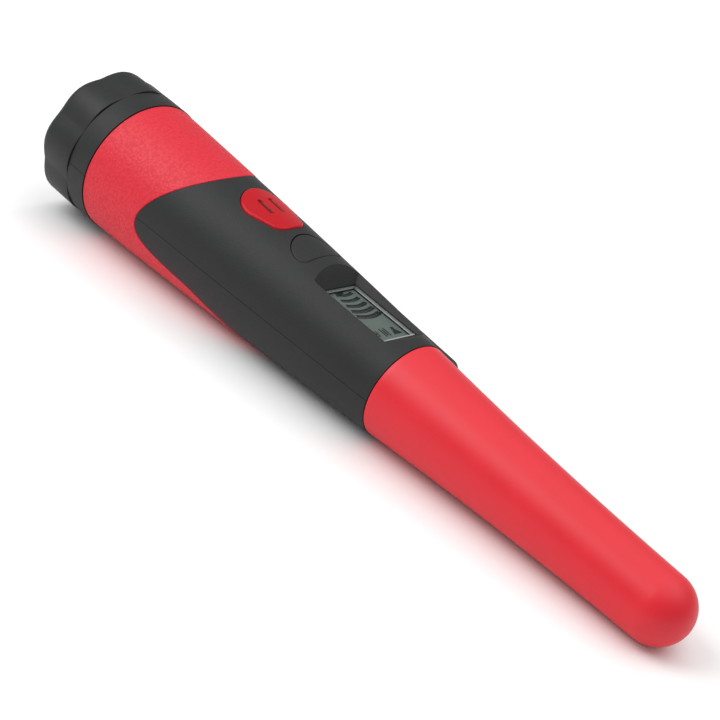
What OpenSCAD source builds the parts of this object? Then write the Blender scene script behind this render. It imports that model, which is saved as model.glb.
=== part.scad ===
// Pinpointer probe: a hand-held metal detector with a tapered handle, two keys, a small
// display, a sensing nose, a screw cap over a 9 V block battery and a belt clip.
// The axis lies along X: the cap's rear face is at x = 0 and the nose's tip at x = overall_l.
// +Z is the side with the keys and the display, and the belt clip is on +Y.

/* [Handle] */
// Length from the cap's rear face to the nose's tip
overall_l = 240; // [238:0.5:242]
// Where the black shells end and the nose begins
junction_x = 138.9; // [138.5:0.1:139.3]
// Radius of the handle at the collar
grip_r = 21; // [20.9:0.1:21.2]
// Radius of the handle at the junction with the nose
junction_r = 14.5; // [14.4:0.05:14.6]
// Radius of the nose's round tip
tip_r = 9.65; // [9.5:0.05:9.8]
// Thickness of the red grip sleeve
sleeve_t = 1.1; // [0.9:0.1:1.2]
// Thickness of the shells over the electronics
shell_t = 2.6; // [2.5:0.1:2.7]
// Thickness of the nose's wall
nose_t = 2.2; // [2:0.1:2.4]

/* [Cap] */
// Length of the screw cap
cap_l = 14; // [13.8:0.1:14.1]
// Number of lobes round the cap
lobe_count = 8; // [6:1:10]
// Radius of the cap over a lobe
lobe_r = 21.8; // [21.6:0.1:22.2]
// Radius of the cap in a valley between lobes
valley_r = 21.1; // [20.8:0.1:21.3]
// Turn of the lobes away from the top line, in degrees
lobe_turn = 6; // [0:1:45]
// Pitch of the cap's thread
thread_pitch = 3; // [2.8:0.1:3.2]
// Front end of the collar behind the grip sleeve
collar_end = 21.8; // [21.5:0.1:22]

/* [Keys and display] */
// Middle of the power key's wide end
power_x = 73.5; // [73:0.1:74]
// Middle of the function key's round side
function_x = 95.6; // [95.2:0.1:96]
// How far a key can be pressed
key_travel = 0.6; // [0.4:0.1:0.7]
// Gap round each key
key_gap = 0.22; // [0.15:0.01:0.3]
// Rear edge of the display window
window_x = 106.6; // [106.4:0.1:106.8]
// Length of the display window
window_l = 24.9; // [24.7:0.1:25.1]
// Width of the display window
window_w = 12.8; // [12.6:0.1:13]
// Height of the window's face above the axis
window_z = 12.25; // [12.1:0.05:12.4]

/* [Battery] */
// Height of a 9 V block without its terminals
battery_l = 46.4; // [46:0.1:46.6]
// Width of a 9 V block
battery_w = 26.2; // [25.8:0.1:26.3]
// Depth of a 9 V block
battery_d = 17.2; // [16.8:0.1:17.3]

/* [Belt clip] */
// Length of the blade in front of its hinge pin
blade_l = 60.4; // [58:0.2:61]
// Width of the blade
blade_w = 8.4; // [8:0.1:8.8]
// Thickness of the blade
blade_t = 1.6; // [1.4:0.1:1.8]
// Slope of the blade, which follows the handle's taper, in degrees
blade_slope = 4.1; // [3.9:0.1:4.3]

/* [Hidden] */

$fn = 96;
tiny = 0.05;           // running clearance between fitted parts
big = 60;              // larger than any cross-section
black = "#3a3b3c";
red = "#e0304a";
steel = "#c8c9cc";
brass_tone = "#c9a24a";

// Handle and nose outlines.
collar_r = 21.3;
tip_x = overall_l - tip_r;
handle_l = junction_x - collar_end;
handle_bow = 1.81;     // how far the handle bows outwards, in quadratic terms
nose_l = tip_x - junction_x;
nose_hollow = 2.9;     // how far the nose's taper is hollowed
nose_start_r = junction_r - 0.1;
outline_steps = 12;
wire_sides = 8;
wire_up = [0.13, 0.21, 0.97];   // a direction that no wire runs along

function handle_r(x) =
    let (t = (x - collar_end) / handle_l)
    grip_r - (grip_r - junction_r - handle_bow) * t - handle_bow * t * t;

function nose_r(x) =
    let (t = (x - junction_x) / nose_l)
    nose_start_r - (nose_start_r - tip_r + nose_hollow) * t + nose_hollow * t * t;

function steps(a, b, n) = [for (i = [0:n]) a + (b - a) * i / n];

// Bezier curve through four control points.
function bezier(p, n) = [for (i = [0:n]) let (t = i / n, s = 1 - t)
    s * s * s * p[0] + 3 * s * s * t * p[1] + 3 * s * t * t * p[2] + t * t * t * p[3]];

// Solid of revolution about X from points [radius, x].
module spin(points) {
    rotate([0, 90, 0]) rotate_extrude() polygon(points);
}

// Round bar about X.
module bar(r, x0, x1) {
    translate([x0, 0, 0]) rotate([0, 90, 0]) cylinder(r = r, h = x1 - x0);
}

// Direction of a path at its point i.
function heading(path, i) =
    let (a = path[max(i - 1, 0)], b = path[min(i + 1, len(path) - 1)])
    (b - a) / norm(b - a);

// Ring of points round a path's point i.
function wire_ring(path, i, r) =
    let (d = heading(path, i), side = cross(d, wire_up), u = side / norm(side), v = cross(u, d))
    [for (k = [0:wire_sides - 1]) let (a = 360 * k / wire_sides) path[i] + r * (u * cos(a) + v * sin(a))];

// Round wire swept along a path.
module wire(path, r) {
    n = len(path);
    points = [for (i = [0:n - 1]) each wire_ring(path, i, r)];
    sides = [for (i = [0:n - 2]) for (k = [0:wire_sides - 1])
        let (a = wire_sides * i + k, b = wire_sides * i + (k + 1) % wire_sides)
        each [[a, b, b + wire_sides], [a, b + wire_sides, a + wire_sides]]];
    first = [for (k = [wire_sides - 1:-1:0]) k];
    last = [for (k = [0:wire_sides - 1]) wire_sides * (n - 1) + k];
    polyhedron(points, concat(sides, [first, last]));
}

// Everything inside the handle's outline, set in by a depth.
module handle_solid(inset, x0, x1) {
    spin(concat([[0, x0]], [for (x = steps(x0, x1, outline_steps)) [handle_r(x) - inset, x]], [[0, x1]]));
}

// Side-view prism: points [x, z] carried right across the object.
module side_prism(points, width = big) {
    rotate([90, 0, 0]) linear_extrude(height = width, center = true) polygon(points);
}

// ---- Red and black boundary ----
swoop_top = [60, 19.6];        // where the boundary crosses the top line
swoop_nose = [45.2, -0.8];     // rearmost point of the black tongue
swoop_mid = [66, -8.9];
swoop_tip = [103, -17.5];      // where the sleeve runs out under the handle
swoop_power = 1.6;
swoop_steps = [30, 20, 20];    // along the top line, the tongue and the keel

function swoop_x(z, gap) = swoop_nose.x - gap + (swoop_top.x - swoop_nose.x)
    * pow(max(0, z - swoop_nose.y) / (swoop_top.y - swoop_nose.y), swoop_power);

function black_outline(gap) = concat(
    [for (z = steps(24, swoop_nose.y, swoop_steps[0])) [swoop_x(z, gap), z]],
    [for (p = bezier([swoop_nose, [45.2, -6.5], [52, -7.6], swoop_mid], swoop_steps[1]))
        if (p.x > swoop_nose.x) p - [gap, gap]],
    [for (p = bezier([swoop_mid, [76, -9.8], [80, -14], swoop_tip], swoop_steps[2]))
        if (p.x > swoop_mid.x) p - [0, gap]],
    [[swoop_tip.x + 6, -24], [junction_x + 10, -24], [junction_x + 10, 24]]);

// ---- Cap and its thread ----
cap_floor = 2.6;
cap_bore_r = 18.45;
tube_r = 17.4;
tube_bore_r = 16;
tube_mouth = 4.3;
tube_end = 44;
thread_crest_r = 18.3;
thread_x = tube_mouth + 1.3;   // where the tube's thread starts
thread_root_w = 1.6;
thread_crest_w = 0.8;
cap_crest_r = 17.62;
edge_round = 2.8;
thread_segments = 36;

// Radius of the lobed outline at an angle.
function lobe(a) =
    let (wave = (1 + cos(lobe_count * a)) / 2)
    valley_r + (lobe_r - valley_r) * pow(wave, 0.75);

// Helical ridge of trapezoid section about X. base_r is sunk into the wall that carries it.
module helix(base_r, crest_r, x0, turns, base_w, crest_w) {
    n = round(turns * thread_segments);
    section = [[-base_w / 2, base_r], [-crest_w / 2, crest_r], [crest_w / 2, crest_r],
        [base_w / 2, base_r]];
    points = [for (i = [0:n]) for (s = section)
        let (a = 360 * i / thread_segments)
        [x0 + thread_pitch * i / thread_segments + s.x, s.y * cos(a), s.y * sin(a)]];
    sides = [for (i = [0:n - 1]) for (k = [0:3])
        let (a = 4 * i + k, b = 4 * i + (k + 1) % 4, c = b + 4, d = a + 4)
        each [[a, b, c], [a, c, d]]];
    inward = crest_r < base_r;
    ends = [[3, 2, 1, 0], [4 * n, 4 * n + 1, 4 * n + 2, 4 * n + 3]];
    faces = concat(sides, ends);
    polyhedron(points, [for (f = faces) inward ? [for (j = [len(f) - 1:-1:0]) f[j]] : f]);
}

module end_cap() {
    lobe_steps = lobe_count * 14;
    color(black) union() {
        difference() {
            intersection() {
                rotate([0, 90, 0]) linear_extrude(height = cap_l)
                    polygon([for (i = [0:lobe_steps - 1])
                        let (a = 360 * i / lobe_steps, r = lobe(a - lobe_turn))
                        [-r * cos(a), r * sin(a)]]);
                spin(concat([[0, 0]],
                    [for (a = steps(-90, 0, 6)) [lobe_r + tiny - edge_round + edge_round * cos(a),
                        edge_round + edge_round * sin(a)]],
                    [[lobe_r + tiny, cap_l], [0, cap_l]]));
            }
            bar(cap_bore_r, cap_floor, cap_l + 1);
        }
        helix(cap_bore_r + 0.3, cap_crest_r, thread_x + thread_pitch / 2, 1.9,
            thread_root_w, thread_crest_w);
    }
}

module cap_gasket() {
    color("#202020") spin([[15.1, cap_floor + tiny], [18.2, cap_floor + tiny],
        [18.2, tube_mouth - tiny], [15.1, tube_mouth - tiny]]);
}

// ---- Battery and its tube ----
battery_x = 6;
battery_end = battery_x + battery_l;
terminal_h = 2.5;
terminal_y = 6.35;
board_x = 57.4;
board_t = 1.6;
tube_rib = [18, 20];
tube_rib_r = 18.6;

module battery_pad() {
    color("#55585c") bar(14.6, cap_floor + tiny, battery_x - tiny);
}

module battery_tube() {
    color("#2f3031") union() {
        difference() {
            union() {
                bar(tube_r, tube_mouth, tube_end);
                bar(tube_rib_r, tube_rib[0] + tiny, tube_rib[1] - tiny);
            }
            bar(tube_bore_r, tube_mouth - 1, tube_end + 1);
        }
        helix(tube_r - 0.3, thread_crest_r, thread_x, 2.2, thread_root_w, thread_crest_w);
    }
}

case_t = 0.4;
case_round = 2.2;

module battery_block(inset) {
    w = battery_w / 2 - inset;
    d = battery_d / 2 - inset;
    r = case_round - inset;
    translate([battery_x + inset, 0, 0]) rotate([0, 90, 0]) linear_extrude(height = battery_l - 2 * inset)
        union() {
            square([2 * (d - r), 2 * w], center = true);
            square([2 * d, 2 * (w - r)], center = true);
            for (sx = [-1, 1]) for (sy = [-1, 1]) translate([sx * (d - r), sy * (w - r)]) circle(r = r);
        }
}

module battery_case() {
    color("#2f3438") difference() {
        battery_block(0);
        battery_block(case_t);
    }
}

// Six small cells stand side by side in the case.
module battery_cells() {
    cell_r = 4;
    cell_l = 42;
    color("#b9bcc0") for (i = [-1:1]) for (s = [-1, 1])
        translate([battery_x + 1.5, i * 8.2, s * 4.05]) rotate([0, 90, 0]) cylinder(r = cell_r, h = cell_l);
}

module battery_terminals() {
    color(steel) {
        translate([battery_end, -terminal_y, 0]) rotate([0, 90, 0]) cylinder(r = 2.9, h = terminal_h);
        translate([battery_end, terminal_y, 0]) rotate([0, 90, 0]) difference() {
            cylinder(r = 4.3, h = terminal_h);
            translate([0, 0, 0.5]) cylinder(r = 3, h = terminal_h);
        }
    }
}

module contact_board() {
    color("#1f5a3a") difference() {
        bar(16.05, board_x, board_x + board_t);
        for (s = [-1, 1]) translate([board_x - 1, s * 10.5, 0]) rotate([0, 90, 0]) cylinder(r = 0.6, h = 4);
    }
}

// Folded leaf contacts that press on the battery's terminals.
module contact_springs() {
    leaf_t = 0.3;
    x0 = battery_end + terminal_h + 0.02;
    color(brass_tone) for (s = [-1, 1]) translate([0, s * terminal_y, 0])
        side_prism([[board_x, -5], [board_x, 1], [board_x - leaf_t, 1], [board_x - leaf_t, -4],
            [x0 + leaf_t, -1], [x0 + leaf_t, 3], [x0, 3], [x0, -1.2], [board_x - leaf_t, -4.6],
            [board_x - leaf_t, -5]], 4);
}

lead_r = 0.55;

module battery_leads() {
    x0 = board_x + board_t;
    color("#c0282e") wire([[x0, -10.5, 0], [x0 + 2, -10.3, 1], [x0 + 3.4, -8, 4.2], [x0 + 6.5, -8, 4.4],
        [x0 + 6.5, -8, pcb_top]], lead_r);
    color("#202020") wire([[x0, 10.5, 0], [x0 + 2, 10.3, 1], [x0 + 3.4, 8, 4.2], [x0 + 6.5, 8, 4.4],
        [x0 + 6.5, 8, pcb_top]], lead_r);
}

// ---- Shells ----
bulkhead = [board_x + board_t + tiny, 61];
bulkhead_r = 12.5;
room_end = 133.5;              // front end of the electronics room
neck_r = 12.3;
neck_bore_r = 10.2;
neck_rib = [135.25, 136.35];   // rib in the shells that locks the nose's neck
neck_rib_r = 11.45;
slab_z = 9.3;                  // underside of the floor that carries the window
slab_x = 101;
ledge_z = window_z - 1.2;
screw_xy = [[65.5, 13.2], [100, 9]];
screw_seat = [-8.3, -10];
screw_r = 1.1;
boss_r = 2.5;
boss_top = 8;
web = [1.6, 5];                // thickness and reach of the web from a post to the shell
seam_w = 0.12;
seam_depth = 0.35;

// Hollow inside both shells.
module room() {
    bar(tube_r + tiny, cap_l - 1, tube_end + tiny);
    bar(tube_rib_r + tiny, tube_rib[0], tube_rib[1]);
    bar(16.1, tube_end - 1, bulkhead[0]);
    bar(bulkhead_r, bulkhead[0] - 1, bulkhead[1] + 1);
    difference() {
        handle_solid(shell_t, bulkhead[1], room_end);
        translate([slab_x, -big / 2, slab_z]) cube([big, big, big]);
    }
    bar(neck_r + tiny, room_end - tiny, neck_rib[0]);
    bar(neck_rib_r, neck_rib[0] - 1, neck_rib[1] + 1);
    bar(neck_r + tiny, neck_rib[1], junction_x + 1);
}

module sleeve_recess() {
    difference() {
        spin(concat([[big, collar_end]], [for (x = steps(collar_end, swoop_tip.x + 4, outline_steps))
            [handle_r(x) - sleeve_t, x]], [[big, swoop_tip.x + 4]]));
        side_prism(black_outline(0));
    }
}

// Half of the handle's outside: side is 1 for the upper half and -1 for the lower one.
module half_outside(side) {
    intersection() {
        union() {
            bar(collar_r, cap_l + 0.25, collar_end);
            handle_solid(0, collar_end - tiny, junction_x);
        }
        translate([0, -big / 2, side > 0 ? 0 : -big]) cube([junction_x, big, big]);
    }
}

// Fine line along the joint between the halves.
module seam_line() {
    difference() {
        translate([cap_l, -big / 2, -seam_w / 2]) cube([junction_x, big, seam_w]);
        handle_solid(seam_depth, collar_end, junction_x + 1);
        bar(collar_r - seam_depth, cap_l - 1, collar_end);
    }
}

// Four posts for the screws, each with a web to the shell, cut to the inside of the handle.
module screw_posts(z0, z1) {
    intersection() {
        for (p = screw_xy) for (s = [-1, 1]) {
            translate([p.x, s * p.y, z0]) cylinder(r = boss_r, h = z1 - z0);
            translate([p.x - web[0] / 2, s > 0 ? p.y : -p.y - web[1], z0])
                cube([web[0], web[1], z1 - z0]);
        }
        handle_solid(1.5, bulkhead[1], junction_x);
    }
}

clip_slot_x = [74, 83];
clip_slot_z = 2;

module clip_slot() {
    translate([clip_slot_x[0], 10, -clip_slot_z])
        cube([clip_slot_x[1] - clip_slot_x[0], 12, 2 * clip_slot_z]);
}

// ---- Keys ----
// Points of an arc.
function arc(c, r, a0, a1, n) = [for (a = steps(a0, a1, n)) c + r * [cos(a), sin(a)]];

power_wide_r = 7.8;
power_corner_r = 3.9;
power_corner = [7.7, 1.9];     // front corner's middle, from the middle of the wide end
function_r = 7.5;
function_front = 98.4;
function_corner = 2.2;

// A wide arc at the rear and two rounded corners in front, joined by their common tangents.
module power_outline(grow) {
    lean = atan2(power_corner.y, power_corner.x)
        + acos((power_wide_r - power_corner_r) / norm(power_corner));
    cx = power_x + power_corner.x;
    corner = power_corner_r + grow;
    polygon(concat(arc([power_x, 0], power_wide_r + grow, lean, 360 - lean, 28),
        arc([cx, -power_corner.y], corner, -lean, 0, 7), arc([cx, power_corner.y], corner, 0, lean, 7)));
}

// D shape: a round rear side and a straight front edge with rounded corners.
module function_outline(grow) {
    r = function_r + grow;
    corner = function_corner + grow;
    cx = function_front - function_corner;
    reach = function_r - function_corner;
    cy = sqrt(reach * reach - (cx - function_x) * (cx - function_x));
    turn = atan2(cy, cx - function_x);
    polygon(concat(arc([function_x, 0], r, turn, 360 - turn, 28),
        arc([cx, -cy], corner, -turn, 0, 5), arc([cx, cy], corner, 0, turn, 5)));
}

key_flange = 1;
power_base_z = 12.3;
function_base_z = 10.9;
power_proud = 0.45;
bar_gap = 2;
bar_w = 1.2;
bar_x = [71.3, 77.8];
bar_depth = 0.4;

// A key: its face follows the handle, and its flange is held under the shell.
module key(base_z, proud) {
    intersection() {
        translate([0, 0, base_z]) linear_extrude(height = 12) children(0);
        handle_solid(-proud, 62, slab_x);
    }
    intersection() {
        translate([0, 0, base_z]) linear_extrude(height = 12) children(1);
        handle_solid(shell_t + 0.12, 62, slab_x);
    }
}

module power_key() {
    color(red) difference() {
        key(power_base_z, power_proud) {
            power_outline(0);
            power_outline(key_flange);
        }
        intersection() {
            for (s = [-1, 1]) translate([bar_x[0], s * bar_gap - bar_w / 2, 10])
                cube([bar_x[1] - bar_x[0], bar_w, 12]);
            difference() {
                handle_solid(-2, 62, slab_x);
                handle_solid(bar_depth - power_proud, 62, slab_x);
            }
        }
    }
}

module function_key() {
    color(black) key(function_base_z, 0) {
        function_outline(0);
        function_outline(key_flange);
    }
}

module key_openings() {
    translate([0, 0, 8]) linear_extrude(height = 16) {
        power_outline(key_gap);
        function_outline(key_gap);
    }
}

// ---- Display recess ----
rim_z = 18;                    // height to which the recess's sloping walls are drawn
ramp_rear_x = 101.3;
ramp_front_x = 140.7;
wall_spread = 1.03;            // how far a side wall leans out for each step up
recess_round = 2.4;
rim_corner_y = 8.4;            // half the recess's width at its rear corners

// Sunken seat of the window: ramps at both ends and walls that lean out at the sides.
module display_recess() {
    x0 = window_x - tiny;
    x1 = window_x + window_l + tiny;
    half = window_w / 2;
    rim = half + wall_spread * (rim_z - window_z);
    rear = ramp_rear_x + 0.9;
    intersection() {
        side_prism([[x0, ledge_z], [x0, window_z], [ramp_rear_x, rim_z], [ramp_front_x, rim_z],
            [x1, window_z], [x1, ledge_z]]);
        translate([ramp_rear_x, 0, 0]) rotate([90, 0, 90])
            linear_extrude(height = ramp_front_x - ramp_rear_x) polygon([[-half, ledge_z],
                [-half, window_z], [-rim, rim_z], [rim, rim_z], [half, window_z], [half, ledge_z]]);
        linear_extrude(height = 24) polygon(concat([[ramp_front_x, rim]],
            arc([rear + recess_round, rim_corner_y - recess_round], recess_round, 90, 180, 6),
            arc([rear + recess_round, recess_round - rim_corner_y], recess_round, 180, 270, 6),
            [[ramp_front_x, -rim]]));
    }
}

ledge_w = 0.7;

module display_aperture() {
    translate([window_x + ledge_w, -window_w / 2 + ledge_w, slab_z - 1])
        cube([window_l - 2 * ledge_w, window_w - 2 * ledge_w, 4]);
}

module upper_shell() {
    color(black) difference() {
        union() {
            difference() {
                half_outside(1);
                room();
                sleeve_recess();
            }
            screw_posts(0, boss_top);
        }
        key_openings();
        display_recess();
        display_aperture();
        seam_line();
        clip_slot();
        for (p = screw_xy) for (s = [-1, 1]) translate([p.x, s * p.y, -1]) cylinder(r = screw_r, h = 7.5);
    }
}

head_r = 2;
head_h = 1.3;

module lower_shell() {
    color(black) difference() {
        union() {
            difference() {
                half_outside(-1);
                room();
                sleeve_recess();
            }
            screw_posts(-big / 2, 0);
            motor_cradle();
        }
        seam_line();
        clip_slot();
        for (i = [0:1]) for (s = [-1, 1]) translate([screw_xy[i].x, s * screw_xy[i].y, 0]) {
            translate([0, 0, -20]) cylinder(r = screw_r + 0.1, h = 21);
            translate([0, 0, screw_seat[i] - 10]) cylinder(r = head_r + 0.2, h = 10);
        }
    }
}

module shell_screws() {
    color(steel) for (i = [0:1]) for (s = [-1, 1]) translate([screw_xy[i].x, s * screw_xy[i].y, 0])
        difference() {
            union() {
                translate([0, 0, screw_seat[i]]) cylinder(r = screw_r, h = 6 - screw_seat[i]);
                translate([0, 0, screw_seat[i] - head_h]) cylinder(r = head_r, h = head_h);
            }
            for (a = [0, 90]) rotate([0, 0, a]) translate([-1.2, -0.25, screw_seat[i] - head_h - 1])
                cube([2.4, 0.5, 1.7]);
        }
}

module grip_sleeve() {
    gap = 0.15;
    x0 = collar_end + gap;
    x1 = swoop_tip.x + 2;
    color(red) difference() {
        spin(concat([for (x = steps(x0, x1, outline_steps)) [handle_r(x) + 0.1, x]],
            [for (x = steps(x1, x0, outline_steps)) [handle_r(x) - sleeve_t + tiny, x]]));
        side_prism(black_outline(gap));
    }
}

// ---- Switches and main board ----
pcb_top = 3.4;
pcb_t = 1.6;
pcb_x = [63, 132.4];
pcb_w = 20;
switch_w = 6;
switch_h = 3.5;
stem_r = 1.75;
switch_floor = 0.8;
stem_foot = pcb_top + switch_floor + key_travel + 0.2;
power_switch_x = 76.5;
function_switch_x = 94.2;

module switch_body(x) {
    color("#262728") translate([x, 0, pcb_top]) difference() {
        translate([-switch_w / 2, -switch_w / 2, 0]) cube([switch_w, switch_w, switch_h]);
        translate([0, 0, switch_floor]) cylinder(r = stem_r + tiny, h = switch_h);
    }
}

module switch_stem(x, top) {
    color("#e8e4da") translate([x, 0, stem_foot]) cylinder(r = stem_r, h = top - stem_foot);
}

module power_switch() { switch_body(power_switch_x); }
module power_stem() { switch_stem(power_switch_x, power_base_z); }
module function_switch() { switch_body(function_switch_x); }
module function_stem() { switch_stem(function_switch_x, function_base_z); }

module main_pcb() {
    color("#1f5a3a") difference() {
        translate([pcb_x[0], -pcb_w / 2, pcb_top - pcb_t]) cube([pcb_x[1] - pcb_x[0], pcb_w, pcb_t]);
        for (s = [-1, 1]) translate([screw_xy[1].x, s * screw_xy[1].y, 0])
            cylinder(r = boss_r + 0.4, h = 9);
    }
}

module chip(x, y, size, up = true) {
    translate([x - size.x / 2, y - size.y / 2, up ? pcb_top : pcb_top - pcb_t - size.z]) cube(size);
}

module board_chips() {
    color("#1c1d1f") {
        chip(85.5, 0, [7, 7, 1]);
        chip(68.5, 3.5, [4, 5, 1.4]);
        chip(98, 0, [6, 5, 1.6], false);
        chip(126, -3, [5, 4, 1.5], false);
    }
    color("#b07a3c") for (s = [-1, 1]) translate([121, s * 5.5, pcb_top - pcb_t - 3])
        cylinder(r = 2.5, h = 3);
    color(steel) translate([69, -4, pcb_top]) cylinder(r = 2, h = 5.4);
    color("#c9b28a") for (i = [0:4]) chip(80 + 4 * i, 7.5, [1.6, 0.8, 0.6]);
}

module buzzer() {
    color("#1c1d1f") translate([110, 0, pcb_top - pcb_t - 5]) difference() {
        cylinder(r = 6, h = 5);
        translate([0, 0, -1]) cylinder(r = 1, h = 3);
    }
}

glass_gap = 0.1;

module lcd_window() {
    color("#dfe8ea", 0.35) translate([window_x, -window_w / 2 + tiny, ledge_z])
        cube([window_l, window_w - 2 * tiny, window_z - ledge_z - tiny]);
}

glass_z = [8.95, ledge_z - 0.1];

module lcd_glass() {
    inset = ledge_w + glass_gap;
    color("#7f8e84") translate([window_x + inset, -window_w / 2 + inset, glass_z[0]])
        cube([window_l - 2 * inset, window_w - 2 * inset, glass_z[1] - glass_z[0]]);
}

module backlight() {
    color("#f2f2ee") translate([window_x + 1.4, -3.8, pcb_top])
        cube([window_l - 2.8, 7.6, glass_z[0] - pcb_top]);
}

module zebra_strips() {
    color("#c56b7a") for (s = [-1, 1]) translate([window_x + 1.6, s * 4.8 - 0.7, pcb_top])
        cube([window_l - 3.2, 1.4, glass_z[0] - pcb_top]);
}

// ---- Vibration motor ----
motor_x = [76, 86];
motor_z = -8;
motor_r = 3;
shaft_r = 0.5;

module motor_cradle() {
    intersection() {
        difference() {
            translate([motor_x[0] + 1, -4.4, -big / 2]) cube([8, 8.8, big / 2 + motor_z]);
            translate([0, 0, motor_z]) bar(motor_r + tiny, motor_x[0] - 1, motor_x[1] + 1);
        }
        handle_solid(1.5, motor_x[0], motor_x[1]);
    }
}

module motor_can() {
    color(steel) translate([0, 0, motor_z]) difference() {
        bar(motor_r, motor_x[0], motor_x[1]);
        bar(shaft_r + tiny, motor_x[1] - 3, motor_x[1] + 1);
    }
}

// Shaft and off-centre weight of the vibration motor.
module motor_rotor() {
    color("#8d9093") translate([0, 0, motor_z]) union() {
        bar(shaft_r, motor_x[1] - 2.8, motor_x[1] + 4);
        intersection() {
            bar(2.6, motor_x[1] + 0.8, motor_x[1] + 3.6);
            translate([motor_x[1], -4, -4]) cube([6, 8, 4.4]);
        }
    }
}

// ---- Nose ----
rod_r = 4;
rod_x = [151, 231];
former_r = 4.8;
flange_r = 6.6;
former_x = [162, 226];
flange_t = 1;
holder_x = [149, 157];
cushion_x = 227.5;
seal_x = 137.6;
seal_r = 0.6;

module nose_shell() {
    shoulder = junction_x + 0.12;
    bore_x1 = 168;
    inner_tip_r = tip_r - nose_t;
    color(red) difference() {
        spin(concat([[0, room_end + 0.1], [neck_r, room_end + 0.1], [neck_r, shoulder]],
            [for (x = steps(shoulder, tip_x, outline_steps)) [nose_r(x), x]],
            [for (a = steps(7.5, 90, 11)) [tip_r * cos(a), tip_x + tip_r * sin(a)]]));
        spin(concat([[0, room_end - 1], [neck_bore_r, room_end - 1],
            [min(neck_bore_r, nose_r(bore_x1) - nose_t), bore_x1]],
            [for (x = steps(bore_x1 + 4, tip_x, 8)) [nose_r(x) - nose_t, x]],
            [for (a = steps(15, 90, 5)) [inner_tip_r * cos(a), tip_x + inner_tip_r * sin(a)]]));
        spin([[neck_rib_r - tiny, neck_rib[0] - tiny], [big, neck_rib[0] - tiny],
            [big, neck_rib[1] + tiny], [neck_rib_r - tiny, neck_rib[1] + tiny]]);
        spin([[neck_r + tiny - 2 * seal_r, seal_x - 0.75], [neck_r + tiny, seal_x - 0.75],
            [neck_r + tiny, seal_x + 0.75], [neck_r + tiny - 2 * seal_r, seal_x + 0.75]]);
    }
}

module nose_seal() {
    color("#202020") rotate([0, 90, 0]) translate([0, 0, seal_x]) rotate_extrude()
        translate([neck_r + tiny - seal_r, 0]) circle(r = seal_r - 0.01, $fn = 32);
}

module ferrite_rod() {
    color("#3b3b40") bar(rod_r, rod_x[0], rod_x[1]);
}

module coil_former() {
    spacing = (former_x[1] - former_x[0] - flange_t) / 3;
    color("#e9e2cf") difference() {
        union() {
            bar(former_r, former_x[0], former_x[1]);
            for (i = [0:3]) bar(flange_r, former_x[0] + i * spacing, former_x[0] + i * spacing + flange_t);
        }
        bar(rod_r + tiny, former_x[0] - 1, former_x[1] + 1);
    }
}

// Winding between two flanges of the former: bay 0 is the rear one.
module winding(bay, r) {
    spacing = (former_x[1] - former_x[0] - flange_t) / 3;
    x0 = former_x[0] + bay * spacing + flange_t;
    difference() {
        bar(r, x0 + tiny, x0 + spacing - flange_t - tiny);
        bar(former_r + tiny, x0 - 1, x0 + spacing);
    }
}

module transmit_coil() {
    color("#b5652b") winding(1, 6.2);
}

module receive_coils() {
    color("#c77a3a") {
        winding(0, 5.8);
        winding(2, 5.8);
    }
}

module rod_holder() {
    color("#6b6e72") difference() {
        bar(neck_bore_r - 0.2, holder_x[0], holder_x[1]);
        bar(rod_r + tiny, rod_x[0], holder_x[1] + 1);
        for (s = [-1, 1]) translate([holder_x[0] - 1, s * 7, 0]) rotate([0, 90, 0])
            cylinder(r = 1.1, h = holder_x[1] - holder_x[0] + 2);
    }
}

module tip_cushion() {
    r = tip_r - nose_t - 0.15;
    color("#55585c") difference() {
        union() {
            bar(r, cushion_x, tip_x);
            intersection() {
                translate([tip_x, 0, 0]) sphere(r = r);
                bar(r, tip_x, overall_l);
            }
        }
        bar(rod_r + tiny, cushion_x - 1, rod_x[1] + tiny);
    }
}

module coil_leads() {
    color("#b5652b") for (s = [-1, 1])
        wire([[130.5, s * 6, pcb_top], [130.5, s * 6, pcb_top + 1.6], [134, s * 6.4, 3.6],
            [145, s * 7, 0.4], [161, s * 7.1, 0], [163.3, s * 7, 0], [164.6, s * 6.15, 0]], 0.3);
}

// ---- Belt clip ----
pivot = [78.5, 21.2];
pin_r = 1;
pin_l = 8.2;
knuckle_r = 1.75;
knuckle_w = 5.7;
ear_w = 1.2;
blade_in = 2;                  // from the pin's axis to the blade's inner face
tab_l = 11;                    // thumb tab behind the pin
bead_w = 4.4;
bead_depth = 3.2;
spring_wire = 0.25;
spring_coil_r = 1.4;

// Places its children at the hinge pin, with X along the blade and Y outwards.
module at_pivot(slope = 0) {
    translate([pivot.x, pivot.y, 0]) rotate([0, 0, -slope]) children();
}

module clip_base() {
    foot_y = 14;
    color(black) difference() {
        union() {
            translate([72, 17, -blade_w / 2]) cube([14, 2.1, blade_w]);
            translate([clip_slot_x[0] + tiny, foot_y, -clip_slot_z + tiny])
                cube([clip_slot_x[1] - clip_slot_x[0] - 2 * tiny, 4, 2 * (clip_slot_z - tiny)]);
            translate([clip_slot_x[0] - 1, foot_y, -3.6])
                cube([clip_slot_x[1] - clip_slot_x[0] + 2, 1.2, 7.2]);
            for (s = [-1, 1]) translate([0, 0, s > 0 ? blade_w / 2 - ear_w : -blade_w / 2]) {
                at_pivot() cylinder(r = knuckle_r, h = ear_w);
                translate([pivot.x - knuckle_r, 17, 0]) cube([2 * knuckle_r, pivot.y - 17, ear_w]);
            }
        }
        at_pivot() cylinder(r = pin_r, h = big, center = true);
        difference() {
            handle_solid(0, 66, 92);
            translate([clip_slot_x[0] + tiny, 10, -clip_slot_z + tiny])
                cube([clip_slot_x[1] - clip_slot_x[0] - 2 * tiny, 12, 2 * (clip_slot_z - tiny)]);
            handle_solid(shell_t + tiny, 66, 92);
        }
    }
}

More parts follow.
